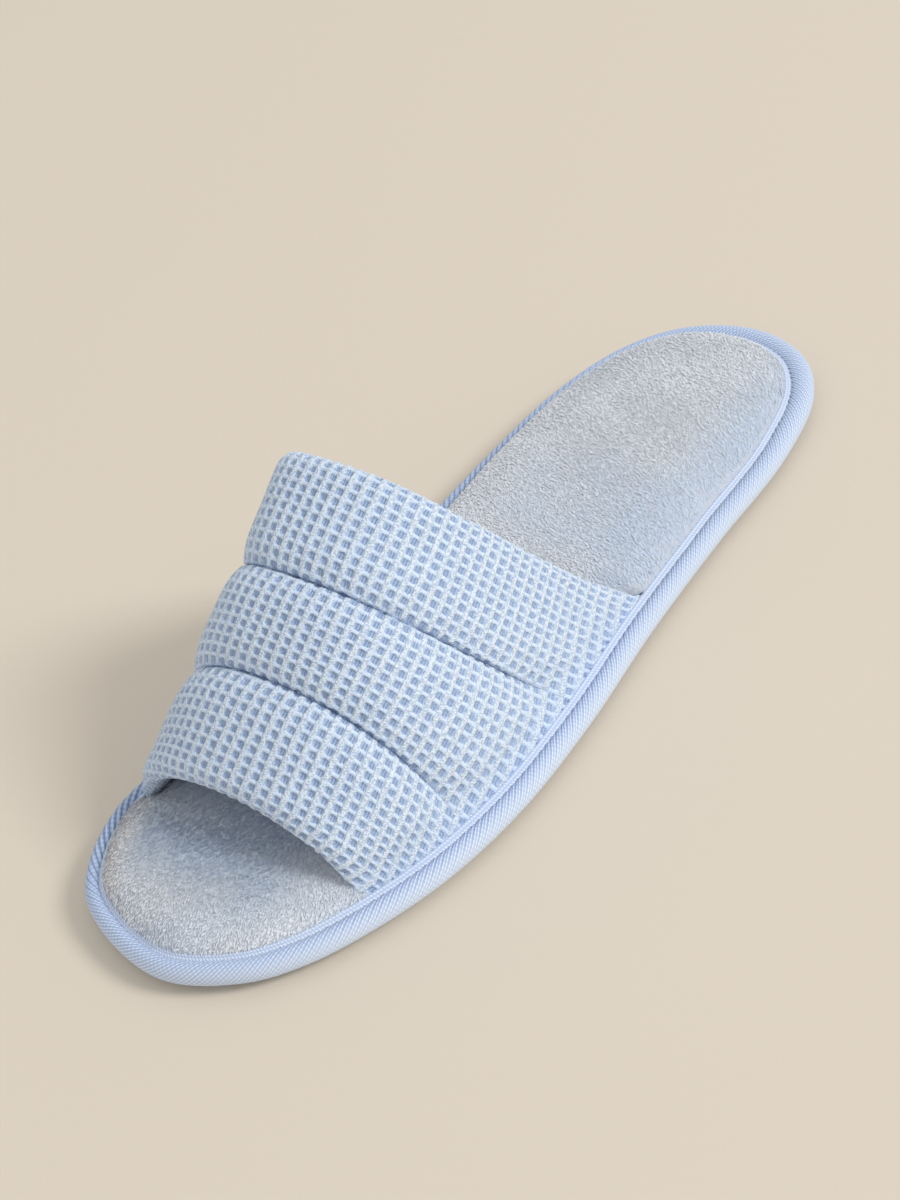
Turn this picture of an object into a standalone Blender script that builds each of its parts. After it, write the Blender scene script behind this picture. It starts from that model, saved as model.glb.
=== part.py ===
# Slide slipper for the left foot: outsole, edge binding, plush insole and padded band upper.
# Sizes are in millimetres and become metres when a mesh is made.
# +X is the lateral side, the toe points to -Y, +Z is up and the sole stands on z = 0.

import bpy
import bmesh
import numpy as np

METRE = 0.001

# Sole outline, from the binding's outermost line: distance from the heel, half widths from the foot's axis.
LENGTH = 260.0
HEEL_TIP_X = 0.4
TOE_TIP_X = -4.4
OUTLINE = [
    # from_heel, lateral, medial
    (6.0, 20.0, 20.1),
    (20.0, 32.0, 32.7),
    (45.0, 38.1, 40.3),
    (80.0, 39.3, 42.4),
    (115.0, 41.6, 42.8),
    (150.0, 45.7, 45.4),
    (180.0, 46.6, 48.3),
    (205.0, 43.0, 50.6),
    (225.0, 35.9, 51.4),
    (241.0, 27.0, 45.6),
    (252.0, 16.0, 35.2),
]
STATIONS = 84
CURVE_STEPS = 24

# Sections of the sole's edge: how far in from the outermost line, and how high.
OUTSOLE_SECTION = [
    # inset, height
    (5.0, 0.0),
    (4.3, 0.5),
    (4.3, 1.5),
    (4.8, 1.9),
    (9.4, 1.9),
    (9.4, 3.7),
    (4.0, 3.7),
    (2.3, 4.6),
    (1.9, 5.6),
    (2.4, 6.8),
    (3.4, 7.2),
    (5.0, 6.6),
    (7.2, 7.2),
]
BINDING_SECTION = [
    # inset, height: outside from the tucked lap round to the top lap, then the inside back again
    (9.0, 2.2),
    (5.2, 2.2),
    (3.0, 2.1),
    (1.3, 2.7),
    (0.35, 3.9),
    (0.0, 5.4),
    (0.3, 7.0),
    (1.2, 8.3),
    (2.5, 8.9),
    (3.8, 8.6),
    (4.7, 7.9),
    (5.3, 8.2),
    (6.2, 9.0),
    (7.4, 9.4),
    (7.5, 8.3),
    (6.2, 7.85),
    (5.1, 6.95),
    (3.4, 7.55),
    (2.1, 7.1),
    (1.55, 5.6),
    (2.0, 4.3),
    (3.9, 3.4),
    (9.0, 3.4),
]
INSOLE_EDGE = [
    # inset, height
    (8.2, 7.5),
    (7.9, 8.6),
    (8.0, 10.4),
    (8.6, 12.0),
    (9.9, 13.3),
    (12.5, 14.3),
]
INSOLE_CROWN = [
    # share of the way from the edge to the spine, height
    (0.25, 15.0),
    (0.50, 15.4),
    (0.75, 15.6),
]
SPINE_HEEL = 42.0
SPINE_TOE = 216.0

# The band's four cross lines, front edge, front seam, rear seam and back edge: where its feet are,
# how far forward the crown leans and how fast, its height over the feet, and its shift to the lateral side.
BAND_LINES = [
    # lateral_y, medial_y, crown_sweep, sweep_power, crown_height, squareness, crown_shift
    (221.5, 218.5, 1.5, 1.00, 20.0, 1.95, 3.0),
    (191.9, 191.8, 7.3, 1.06, 38.3, 2.23, -2.8),
    (147.4, 146.4, 32.5, 0.85, 54.0, 2.52, -5.5),
    (108.7, 107.5, 45.5, 0.78, 67.9, 2.80, -7.8),
]
BAND_INSET = 7.9
FOOT_LINE = 9.3
FOOT_BOTTOM = 7.6
BAND_STATIONS = 39
TURN_STEPS = 361
WALL = 2.2
CHANNELS = 3
CHANNEL_RISE = 2.2
LINING_RISE = 0.7
CHANNEL_POWER = 2.6
FREE_EDGE_DROP = 0.4
EDGE_ROUND = 0.045
MARGIN = 12.0
CHANNEL_STEPS = (0.0, 0.1, 0.28, 0.5, 0.72, 0.9)
EDGE_STEPS = (0.006, 0.02)

# Room left in the insole where the band's foot goes down beside it.
BAND_ROOM = 3.9
ROOM_FADE = 6.0

COLOURS = {
    # name: red, green, blue, roughness
    "outsole": (0.46, 0.50, 0.56, 0.75),
    "edge_binding": (0.33, 0.44, 0.66, 0.80),
    "insole": (0.42, 0.48, 0.55, 0.95),
    "upper": (0.47, 0.58, 0.75, 0.85),
}


def smooth(value):
    """A soft step from 0 to 1."""
    value = np.clip(value, 0.0, 1.0)
    return value * value * (3.0 - 2.0 * value)


def closed_curve(points, count):
    """A centripetal Catmull-Rom curve through a closed row of points, even steps along it."""
    points = np.asarray(points, float)
    fine = []
    for index in range(len(points)):
        p0, p1, p2, p3 = (points[(index + step) % len(points)] for step in (-1, 0, 1, 2))
        t1 = np.linalg.norm(p1 - p0) ** 0.5
        t2 = t1 + np.linalg.norm(p2 - p1) ** 0.5
        t3 = t2 + np.linalg.norm(p3 - p2) ** 0.5
        for t in np.linspace(t1, t2, CURVE_STEPS, endpoint=False):
            a1 = p0 * (t1 - t) / t1 + p1 * t / t1
            a2 = p1 * (t2 - t) / (t2 - t1) + p2 * (t - t1) / (t2 - t1)
            a3 = p2 * (t3 - t) / (t3 - t2) + p3 * (t - t2) / (t3 - t2)
            b1 = a1 * (t2 - t) / t2 + a2 * t / t2
            b2 = a2 * (t3 - t) / (t3 - t1) + a3 * (t - t1) / (t3 - t1)
            fine.append(b1 * (t2 - t) / (t2 - t1) + b2 * (t - t1) / (t2 - t1))
    fine = np.array(fine + fine[:1])
    along = np.concatenate([[0.0], np.cumsum(np.linalg.norm(np.diff(fine, axis=0), axis=1))])
    even = np.linspace(0.0, along[-1], count, endpoint=False)
    return np.column_stack([np.interp(even, along, fine[:, axis]) for axis in (0, 1)])


def sole_outline():
    """Points round the outermost line, heel to toe up the lateral side and back, with outward normals."""
    lateral = [(row[1], row[0]) for row in OUTLINE]
    medial = [(-row[2], row[0]) for row in reversed(OUTLINE)]
    points = closed_curve([(HEEL_TIP_X, 0.0)] + lateral + [(TOE_TIP_X, LENGTH)] + medial, STATIONS)
    along = np.roll(points, -1, axis=0) - np.roll(points, 1, axis=0)
    along /= np.linalg.norm(along, axis=1)[:, None]
    return points, np.column_stack([along[:, 1], -along[:, 0]])


EDGE, EDGE_NORMAL = sole_outline()


def ring(inset):
    """The outline moved in, by one distance or by one for each station."""
    return EDGE - EDGE_NORMAL * np.reshape(inset, (-1, 1))


def at_height(flat, height):
    return np.column_stack([flat, np.full(len(flat), height)])


def make_object(name, points, faces):
    """One closed mesh with its own material, outward faces, in metres about the sole's middle."""
    points = np.asarray(points, float)
    across, along = (EDGE.min(axis=0) + EDGE.max(axis=0)) / 2
    placed = np.column_stack([points[:, 0] - across, along - points[:, 1], points[:, 2]])
    mesh = bpy.data.meshes.new(name)
    mesh.from_pydata((placed * METRE).tolist(), [], faces)
    shape = bmesh.new()
    shape.from_mesh(mesh)
    bmesh.ops.recalc_face_normals(shape, faces=shape.faces)
    bmesh.ops.triangulate(shape, faces=shape.faces)
    shape.to_mesh(mesh)
    shape.free()
    red, green, blue, roughness = COLOURS[name]
    material = bpy.data.materials.new(name)
    material.use_nodes = True
    surface = material.node_tree.nodes["Principled BSDF"]
    surface.inputs["Base Color"].default_value = (red, green, blue, 1.0)
    surface.inputs["Roughness"].default_value = roughness
    surface.inputs["Metallic"].default_value = 0.0
    mesh.materials.append(material)
    bpy.context.scene.collection.objects.link(bpy.data.objects.new(name, mesh))


def between(first, second, count, closed=True):
    """Faces between two rows of points that start at these indices."""
    last = count if closed else count - 1
    return [
        (first + k, first + (k + 1) % count, second + (k + 1) % count, second + k)
        for k in range(last)
    ]


def stacked(name, rings):
    """A solid from rings one over the other, with its first and last ring closed."""
    faces = [tuple(range(STATIONS)), tuple(range((len(rings) - 1) * STATIONS, len(rings) * STATIONS))]
    for level in range(len(rings) - 1):
        faces += between(level * STATIONS, (level + 1) * STATIONS, STATIONS)
    make_object(name, np.vstack(rings), faces)


def looped(name, rings):
    """A closed hoop from rings that follow each other round its section."""
    faces = []
    for level in range(len(rings)):
        faces += between(level * STATIONS, (level + 1) % len(rings) * STATIONS, STATIONS)
    make_object(name, np.vstack(rings), faces)


def build_outsole():
    stacked("outsole", [at_height(ring(inset), height) for inset, height in OUTSOLE_SECTION])


def build_binding():
    looped("edge_binding", [at_height(ring(inset), height) for inset, height in BINDING_SECTION])


def band_room():
    """Extra inset of the insole at each station, between the band's back and front edges."""
    y = EDGE[:, 1]
    back = min(BAND_LINES[-1][:2])
    front = max(BAND_LINES[0][:2])
    return BAND_ROOM * smooth((y - back + ROOM_FADE) / ROOM_FADE) * smooth((front + ROOM_FADE - y) / ROOM_FADE)


def build_insole():
    room = band_room()
    rings = [at_height(ring(inset + room), height) for inset, height in INSOLE_EDGE]
    rim = rings[-1][:, :2]
    spine_y = np.clip(rim[:, 1], SPINE_HEEL, SPINE_TOE)
    spine = np.column_stack([np.interp(spine_y, *middle_line()), spine_y])
    for share, height in INSOLE_CROWN:
        rings.append(at_height(rim + (spine - rim) * share, height))
    stacked("insole", rings)


def middle_line():
    """Distance from the heel, and the middle between both sides there."""
    return [row[0] for row in OUTLINE], [(row[1] - row[2]) / 2 for row in OUTLINE]


def side_line(side):
    """The band's foot line on one side, sorted by distance from the heel."""
    line = ring(BAND_INSET)
    keep = (line[:, 0] > TOE_TIP_X) if side > 0 else (line[:, 0] < TOE_TIP_X)
    line, normal = line[keep], EDGE_NORMAL[keep]
    order = np.argsort(line[:, 1])
    return line[order], normal[order]


def line_at(rows, share):
    """The band's sizes at a share of the way from front to back, a smooth curve through the rows."""
    rows = np.asarray(rows, float)
    slopes = np.gradient(rows, axis=0)
    place = min(share * (len(rows) - 1), len(rows) - 1 - 1e-9)
    low = int(place)
    t = place - low
    return (
        (2 * t**3 - 3 * t**2 + 1) * rows[low]
        + (t**3 - 2 * t**2 + t) * slopes[low]
        + (3 * t**2 - 2 * t**3) * rows[low + 1]
        + (t**3 - t**2) * slopes[low + 1]
    )


def band_curve(share):
    """One cross line of the band's outside, from the lateral foot over the crown to the medial foot."""
    lateral_y, medial_y, sweep, power, height, square, shift = line_at(BAND_LINES, share)
    lateral, _ = side_line(1)
    medial, _ = side_line(-1)
    lateral_x = np.interp(lateral_y, lateral[:, 1], lateral[:, 0])
    medial_x = np.interp(medial_y, medial[:, 1], medial[:, 0])
    turn = np.linspace(0.0, np.pi, TURN_STEPS)
    across = np.sign(np.cos(turn)) * np.abs(np.cos(turn)) ** (2 / square)
    up = np.clip(np.sin(turn), 0.0, 1.0) ** (2 / square)
    x = (lateral_x + medial_x) / 2 + (lateral_x - medial_x) / 2 * across + shift * up
    y = lateral_y + (medial_y - lateral_y) * (1 - across) / 2 + sweep * up**power
    fine = np.column_stack([x, y, FOOT_LINE + height * up])
    along = np.concatenate([[0.0], np.cumsum(np.linalg.norm(np.diff(fine, axis=0), axis=1))])
    even = np.linspace(0.0, along[-1], BAND_STATIONS)
    return np.column_stack([np.interp(even, along, fine[:, axis]) for axis in range(3)]), even


def band_shares():
    """Shares from front to back where the band has a cross line, closer at the seams and free edges."""
    shares = [(channel + step) / CHANNELS for channel in range(CHANNELS) for step in CHANNEL_STEPS]
    shares += list(EDGE_STEPS) + [1.0 - step for step in EDGE_STEPS] + [1.0]
    return sorted(shares)


def channel_rise(share):
    """How far a channel stands up, from 0 at a stitched seam to 1 at its middle."""
    place = share * CHANNELS
    channel = min(int(place), CHANNELS - 1)
    off = abs(2 * (place - channel) - 1) ** CHANNEL_POWER
    free = (channel == 0 and place < 0.5) or (channel == CHANNELS - 1 and place > CHANNELS - 0.5)
    return 1.0 - off * (FREE_EDGE_DROP if free else 1.0)


def edge_round(share):
    """How much of the wall is left at a free edge, a round nose."""
    reach = min(min(share, 1.0 - share) / EDGE_ROUND, 1.0)
    return np.sqrt(max(0.0, 1.0 - (1.0 - reach) ** 2))


def band_normals(grid):
    """Outward normals of the band's surface, level at its feet."""
    along = np.gradient(grid, axis=0)
    across = np.gradient(grid, axis=1)
    normal = np.cross(along, across)
    for station, side in ((0, 1), (-1, -1)):
        line, flat = side_line(side)
        for row in range(len(grid)):
            foot = [np.interp(grid[row, station, 1], line[:, 1], flat[:, axis]) for axis in (0, 1)]
            normal[row, station] = (foot[0], foot[1], 0.0)
    normal /= np.linalg.norm(normal, axis=2)[:, :, None]
    if normal[len(grid) // 2, BAND_STATIONS // 2, 2] < 0:
        normal[:, 1:-1] *= -1
    return normal


def build_upper():
    shares = band_shares()
    curves = [band_curve(share) for share in shares]
    grid = np.array([curve for curve, _ in curves])
    normal = band_normals(grid)
    outside, inside = [], []
    for row, share in enumerate(shares):
        run = curves[row][1]
        fade = smooth(np.minimum(run, run[-1] - run) / MARGIN)[:, None]
        out = CHANNEL_RISE * channel_rise(share) * fade
        back = WALL + LINING_RISE * channel_rise(share) * fade
        middle = (out - back) / 2
        half = (out + back) / 2 * edge_round(share)
        outside.append(grid[row] + normal[row] * (middle + half))
        inside.append(grid[row] + normal[row] * (middle - half))
    loop = np.array(outside + inside[-2:0:-1])
    first, last = loop[:, :1].copy(), loop[:, -1:].copy()
    first[:, :, 2] = FOOT_BOTTOM
    last[:, :, 2] = FOOT_BOTTOM
    loop = np.concatenate([first, loop, last], axis=1)
    around, long = loop.shape[:2]
    points = loop.transpose(1, 0, 2).reshape(-1, 3)
    faces = []
    for station in range(long - 1):
        faces += between(station * around, (station + 1) * around, around)
    for start in (0, (long - 1) * around):
        for k in range(len(shares) - 1):
            pair = (start + k, start + k + 1, start + (around - k - 1) % around, start + (around - k) % around)
            faces.append(tuple(dict.fromkeys(pair)))
    make_object("upper", points, faces)


for old in list(bpy.data.objects):
    bpy.data.objects.remove(old)
build_outsole()
build_binding()
build_insole()
build_upper()
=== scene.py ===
import bpy
import numpy as np
from mathutils import Matrix, Vector


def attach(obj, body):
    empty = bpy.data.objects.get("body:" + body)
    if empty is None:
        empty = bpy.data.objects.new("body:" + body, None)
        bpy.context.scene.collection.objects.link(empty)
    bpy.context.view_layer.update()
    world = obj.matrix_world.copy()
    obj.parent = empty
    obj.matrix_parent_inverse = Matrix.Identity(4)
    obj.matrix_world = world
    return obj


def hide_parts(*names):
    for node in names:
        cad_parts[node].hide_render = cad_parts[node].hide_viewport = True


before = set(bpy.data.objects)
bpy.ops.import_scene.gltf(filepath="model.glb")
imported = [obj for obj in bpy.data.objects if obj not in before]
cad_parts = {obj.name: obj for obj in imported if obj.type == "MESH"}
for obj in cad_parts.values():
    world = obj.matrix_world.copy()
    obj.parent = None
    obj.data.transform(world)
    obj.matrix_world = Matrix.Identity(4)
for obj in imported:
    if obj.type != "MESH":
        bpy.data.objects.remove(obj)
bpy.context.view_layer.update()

# The outsole is a stiff board with pale foam rubber glued below, both die cut to the foot's outline.
# The sheet is moulded with small dots against slipping, which stand on the floor.
# Sizes are in millimetres: x to the lateral side, y from the heel, z up from the floor.
MM = 0.001
LENGTH = 260.0
HEEL_TIP_X = 0.4
TOE_TIP_X = -4.4
OUTLINE = [
    # from_heel, lateral, medial
    (6.0, 20.0, 20.1),
    (20.0, 32.0, 32.7),
    (45.0, 38.1, 40.3),
    (80.0, 39.3, 42.4),
    (115.0, 41.6, 42.8),
    (150.0, 45.7, 45.4),
    (180.0, 46.6, 48.3),
    (205.0, 43.0, 50.6),
    (225.0, 35.9, 51.4),
    (241.0, 27.0, 45.6),
    (252.0, 16.0, 35.2),
]
MIDDLE = (-2.487, 129.969)
OUTSOLE_SECTION = [
    # inset, height
    (5.0, 0.45),
    (4.5, 0.55),
    (4.3, 0.9),
    (4.3, 1.5),
    (4.8, 1.9),
    (9.4, 1.9),
    (9.4, 3.7),
    (4.0, 3.7),
    (2.3, 4.6),
    (1.9, 5.6),
    (2.4, 6.8),
    (3.4, 7.2),
    (5.0, 6.6),
    (7.2, 7.2),
]
OUTSOLE_STATIONS = 360
DOT_PITCH = 5.2
DOT_RADIUS = 1.25
DOT_HEIGHT = 0.45
DOT_INSET = 8.5
DOT_ROWS = 60
DOT_COLUMNS = 12
DOT_ROW_SHARE = 0.866
DOT_TOP_SHARE = 0.7
RUBBER = (0.42, 0.47, 0.55, 1.0)
RUBBER_WORN = (0.34, 0.38, 0.46, 1.0)


def open_curve(points, count):
    """A centripetal Catmull-Rom curve through a row of points, in even steps."""
    points = np.asarray(points, float)
    ends = [2 * points[0] - points[1], *points, 2 * points[-1] - points[-2]]
    fine = []
    for p0, p1, p2, p3 in zip(ends, ends[1:], ends[2:], ends[3:]):
        t1 = np.linalg.norm(p1 - p0) ** 0.5
        t2 = t1 + np.linalg.norm(p2 - p1) ** 0.5
        t3 = t2 + np.linalg.norm(p3 - p2) ** 0.5
        t = np.linspace(t1, t2, 24, endpoint=False)[:, None]
        a1 = p0 * (t1 - t) / t1 + p1 * t / t1
        a2 = p1 * (t2 - t) / (t2 - t1) + p2 * (t - t1) / (t2 - t1)
        a3 = p2 * (t3 - t) / (t3 - t2) + p3 * (t - t2) / (t3 - t2)
        b1 = a1 * (t2 - t) / t2 + a2 * t / t2
        b2 = a2 * (t3 - t) / (t3 - t1) + a3 * (t - t1) / (t3 - t1)
        fine.append(b1 * (t2 - t) / (t2 - t1) + b2 * (t - t1) / (t2 - t1))
    fine = np.vstack([*fine, points[-1:]])
    return even_steps(fine, count)


def even_steps(line, count):
    """The same line with points at even steps along it."""
    run = np.concatenate([[0.0], np.cumsum(np.linalg.norm(np.diff(line, axis=0), axis=1))])
    even = np.linspace(0.0, run[-1], count)
    return np.column_stack([np.interp(even, run, line[:, axis]) for axis in range(line.shape[1])])


def sole_edge(count):
    """The sole's outermost line, from the heel up the lateral side and back, its normals and its length."""
    lateral = [(row[1], row[0]) for row in OUTLINE]
    medial = [(-row[2], row[0]) for row in reversed(OUTLINE)]
    points = [(HEEL_TIP_X, 0.0)] + lateral + [(TOE_TIP_X, LENGTH)] + medial
    fine_steps = 4000
    half_way = fine_steps // 2
    line = open_curve(points[-3:] + points + points[:4], fine_steps)
    start = np.argmin(line[: half_way // 2, 1])
    end = half_way + np.argmin(line[half_way:, 1])
    line = even_steps(line[start : end + 1], count + 1)
    length = np.linalg.norm(np.diff(line, axis=0), axis=1).sum()
    line = line[:-1]
    along = np.roll(line, -1, axis=0) - np.roll(line, 1, axis=0)
    along /= np.linalg.norm(along, axis=1)[:, None]
    return line, np.column_stack([along[:, 1], -along[:, 0]]), length


def placed(points):
    """From the shoe's millimetres to the frame's metres, with the toe to -Y."""
    x, y, z = np.asarray(points, float).reshape(-1, 3).T
    return np.column_stack([x - MIDDLE[0], MIDDLE[1] - y, z]) * MM


def piece(name, points, faces, wear=None):
    """A smooth mesh object from points in the shoe's millimetres."""
    mesh = bpy.data.meshes.new(name)
    mesh.from_pydata(placed(points).tolist(), [], [tuple(face) for face in faces])
    mesh.shade_smooth()
    made = bpy.data.objects.new(name, mesh)
    bpy.context.scene.collection.objects.link(made)
    if wear:
        mesh.materials.append(wear)
    return made


def grid_faces(rows, columns, closed=False):
    """Quads over a grid of points; closed joins the last column to the first."""
    index = np.arange(rows * columns).reshape(rows, columns)
    if closed:
        index = np.concatenate([index, index[:, :1]], axis=1)
    corners = (index[:-1, :-1], index[1:, :-1], index[1:, 1:], index[:-1, 1:])
    return np.stack(corners, axis=-1).reshape(-1, 4).tolist()


def edge_rings(section, edge, normal):
    """Rings round the sole, one for each inset and height of a section."""
    level = np.ones(len(edge))
    return np.vstack([np.column_stack([edge - normal * inset, level * height]) for inset, height in section])


class Strand:
    """The end of a link in a node tree. Sums written with it add Math nodes to that tree."""

    def __init__(self, tree, socket=None):
        self.tree, self.socket = tree, socket

    def node(self, kind, settings=None, values=None, out=0):
        """Adds a node of a kind with its settings, then its socket values or links, and gives one output."""
        made = self.tree.nodes.new(kind)
        for name, value in (settings or {}).items():
            setattr(made, name, value)
        for name, value in (values or {}).items():
            if isinstance(value, Strand):
                self.tree.links.new(value.socket, made.inputs[name])
            else:
                made.inputs[name].default_value = value
        return Strand(self.tree, made.outputs[out])

    def sum(self, operation, *terms):
        return self.node("ShaderNodeMath", {"operation": operation}, dict(enumerate(terms)))

    def __add__(self, other):
        return self.sum("ADD", self, other)

    def __radd__(self, other):
        return self.sum("ADD", other, self)

    def __sub__(self, other):
        return self.sum("SUBTRACT", self, other)

    def __rsub__(self, other):
        return self.sum("SUBTRACT", other, self)

    def __mul__(self, other):
        return self.sum("MULTIPLY", self, other)

    def __rmul__(self, other):
        return self.sum("MULTIPLY", other, self)

    def __truediv__(self, other):
        return self.sum("DIVIDE", self, other)

    def __pow__(self, other):
        return self.sum("POWER", self, other)

    def __abs__(self):
        return self.sum("ABSOLUTE", self)

    def fract(self):
        return self.sum("FRACT", self)

    def wave(self):
        """A smooth wave from 0 to 1 and back for each whole step."""
        return self.sum("COSINE", self * 6.28318) * -0.5 + 0.5

    def step(self, low, high):
        """A soft step from 0 at low to 1 at high."""
        soft = {"interpolation_type": "SMOOTHSTEP"}
        return self.node("ShaderNodeMapRange", soft, {"Value": self, "From Min": low, "From Max": high})

    def mix(self, first, second):
        """Two colours mixed by this value."""
        return self.node("ShaderNodeMix", {"data_type": "RGBA"}, {0: self, 6: first, 7: second}, 2)

    def parts(self):
        """The x, y and z of a vector."""
        split = self.node("ShaderNodeSeparateXYZ", None, {0: self}).socket.node
        return [Strand(self.tree, socket) for socket in split.outputs]


def finish_of(name, **settings):
    """A new material, the start of its tree, and its shader with these constant values set."""
    made = bpy.data.materials.new(name)
    made.use_nodes = True
    shader = made.node_tree.nodes["Principled BSDF"]
    for socket, value in settings.items():
        shader.inputs[socket.replace("_", " ")].default_value = value
    return made, Strand(made.node_tree), shader


def wire(strand, shader, socket):
    strand.tree.links.new(strand.socket, shader.inputs[socket])


def place_of(start):
    """The place on a piece in the frame's metres, for its textures."""
    return start.node("ShaderNodeTexCoord", None, None, 3)


def noise(place, scale, detail=2.0):
    return place.node("ShaderNodeTexNoise", None, {"Vector": place, "Scale": scale, "Detail": detail})


def stored(start, name):
    """A value that the mesh holds at each point."""
    return start.node("ShaderNodeAttribute", {"attribute_name": name}, None, 2)


def store(made, name, values):
    values = np.ravel(values).astype(np.float32)
    made.data.attributes.new(name, "FLOAT", "POINT").data.foreach_set("value", values)


def bump(start, height, distance, strength=1.0):
    """A Bump node over a height, for a shader's Normal."""
    return start.node("ShaderNodeBump", None, {"Strength": strength, "Distance": distance, "Height": height})


def size_tree(name, sizes):
    """A Geometry Nodes tree whose inputs are the geometry and named sizes, whole numbers as seeds."""
    tree = bpy.data.node_groups.new(name, "GeometryNodeTree")
    tree.interface.new_socket("Geometry", in_out="INPUT", socket_type="NodeSocketGeometry")
    for size, value in sizes.items():
        kind = "NodeSocketInt" if isinstance(value, int) else "NodeSocketFloat"
        tree.interface.new_socket(size, in_out="INPUT", socket_type=kind)
    tree.interface.new_socket("Geometry", in_out="OUTPUT", socket_type="NodeSocketGeometry")
    inputs = tree.nodes.new("NodeGroupInput")
    return {socket.name: Strand(tree, socket) for socket in inputs.outputs if socket.name}


def grown(name, source, sizes, shape, wear):
    """Ends a tree in realized shapes of one material, runs it on a source and returns a plain mesh object."""
    tree = shape.tree
    real = shape.node("GeometryNodeRealizeInstances", None, {0: shape})
    soft = real.node("GeometryNodeSetShadeSmooth", None, {0: real})
    done = soft.node("GeometryNodeSetMaterial", None, {"Geometry": soft, "Material": wear})
    output = tree.nodes.new("NodeGroupOutput")
    tree.links.new(done.socket, output.inputs[0])
    modifier = source.modifiers.new(name, "NODES")
    modifier.node_group = tree
    for item in tree.interface.items_tree:
        if item.in_out == "INPUT" and item.name in sizes:
            modifier[item.identifier] = sizes[item.name]
    shaped = source.evaluated_get(bpy.context.evaluated_depsgraph_get())
    made = bpy.data.objects.new(name, bpy.data.meshes.new_from_object(shaped))
    source.modifiers.remove(modifier)
    bpy.context.scene.collection.objects.link(made)
    return made


rubber, start, shader = finish_of("foam_rubber", Roughness=0.78, IOR=1.45)
place = place_of(start)
speck = noise(place, 900.0, 3.0)
patch = noise(place, 45.0, 4.0)
wire(patch.step(0.35, 0.7).mix(RUBBER, RUBBER_WORN), shader, "Base Color")
wire(patch * 0.25 + 0.6, shader, "Roughness")
wire(bump(start, speck, 0.0004, 0.5), shader, "Normal")

edge, normal, _ = sole_edge(OUTSOLE_STATIONS)
faces = grid_faces(len(OUTSOLE_SECTION), OUTSOLE_STATIONS, closed=True)
top = (len(OUTSOLE_SECTION) - 1) * OUTSOLE_STATIONS
faces.append(tuple(range(OUTSOLE_STATIONS)))
faces.append(tuple(reversed(range(top, top + OUTSOLE_STATIONS))))
outsole = piece("outsole_board", edge_rings(OUTSOLE_SECTION, edge, normal), faces, rubber)
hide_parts("outsole")
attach(outsole, "root")


def inside_edge(points, inset):
    """Which points lie inside the sole's outline moved in."""
    around = edge - normal * inset
    x, y = points[:, :1], points[:, 1:2]
    x1, y1 = around.T
    x2, y2 = np.roll(around, -1, axis=0).T
    crossed = ((y1 > y) != (y2 > y)) & (x < (x2 - x1) * (y - y1) / (y2 - y1 + 1e-9) + x1)
    return crossed.sum(axis=1) % 2 == 1


rows, columns = np.mgrid[0:DOT_ROWS, -DOT_COLUMNS : DOT_COLUMNS + 1]
dots_x = (columns + rows % 2 / 2) * DOT_PITCH
dots_y = rows * DOT_PITCH * DOT_ROW_SHARE
dots = np.column_stack([dots_x.ravel(), dots_y.ravel()])
dots = dots[inside_edge(dots, DOT_INSET)]
spots = piece("tread_spots", np.column_stack([dots, np.full(len(dots), DOT_HEIGHT)]), [])
sizes = {"Dot Radius": DOT_RADIUS * MM, "Dot Height": DOT_HEIGHT * MM}
given = size_tree("tread_dots", sizes)
dot = given["Geometry"].node(
    "GeometryNodeMeshCone",
    None,
    {
        "Vertices": 10,
        "Radius Top": given["Dot Radius"] * DOT_TOP_SHARE,
        "Radius Bottom": given["Dot Radius"],
        "Depth": given["Dot Height"],
    },
)
down = dot.node("GeometryNodeTransform", None, {"Geometry": dot, "Rotation": (np.pi, 0.0, 0.0)})
set_out = down.node("GeometryNodeInstanceOnPoints", None, {"Points": given["Geometry"], "Instance": down})
tread = grown("outsole_dots", spots, sizes, set_out, rubber)
bpy.data.objects.remove(spots)
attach(tread, "root")

# The edge binding is a woven twill tape, folded over the sole's padded edge and sewn down along a crease.
# Its narrow top lap holds the insole and the band's feet, and each stitch pulls a pleat into the roll.
ROLL_SECTION = [
    # inset, height, from the edge tucked below round to the sewn crease on top
    (9.0, 2.2),
    (5.2, 2.2),
    (3.0, 2.1),
    (1.3, 2.7),
    (0.35, 3.9),
    (0.0, 5.4),
    (0.3, 7.0),
    (1.2, 8.2),
    (2.3, 8.75),
    (3.4, 8.6),
    (4.3, 8.0),
]
LAP_SECTION = [
    # share of the lap's width in from the crease, height above the crease
    (0.0, 0.0),
    (0.25, 0.3),
    (0.55, 0.7),
    (0.85, 0.9),
    (1.0, 0.8),
]
LAP_BACK = [
    # share of the lap's width, height above the crease
    (1.02, 0.45),
    (0.6, 0.1),
    (0.1, -0.6),
]
ROLL_BACK = [
    # inset, height, the tape's inner face back to the tucked edge
    (3.4, 7.55),
    (2.1, 7.1),
    (1.55, 5.6),
    (2.0, 4.3),
    (3.9, 3.4),
    (9.0, 3.4),
]
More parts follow.
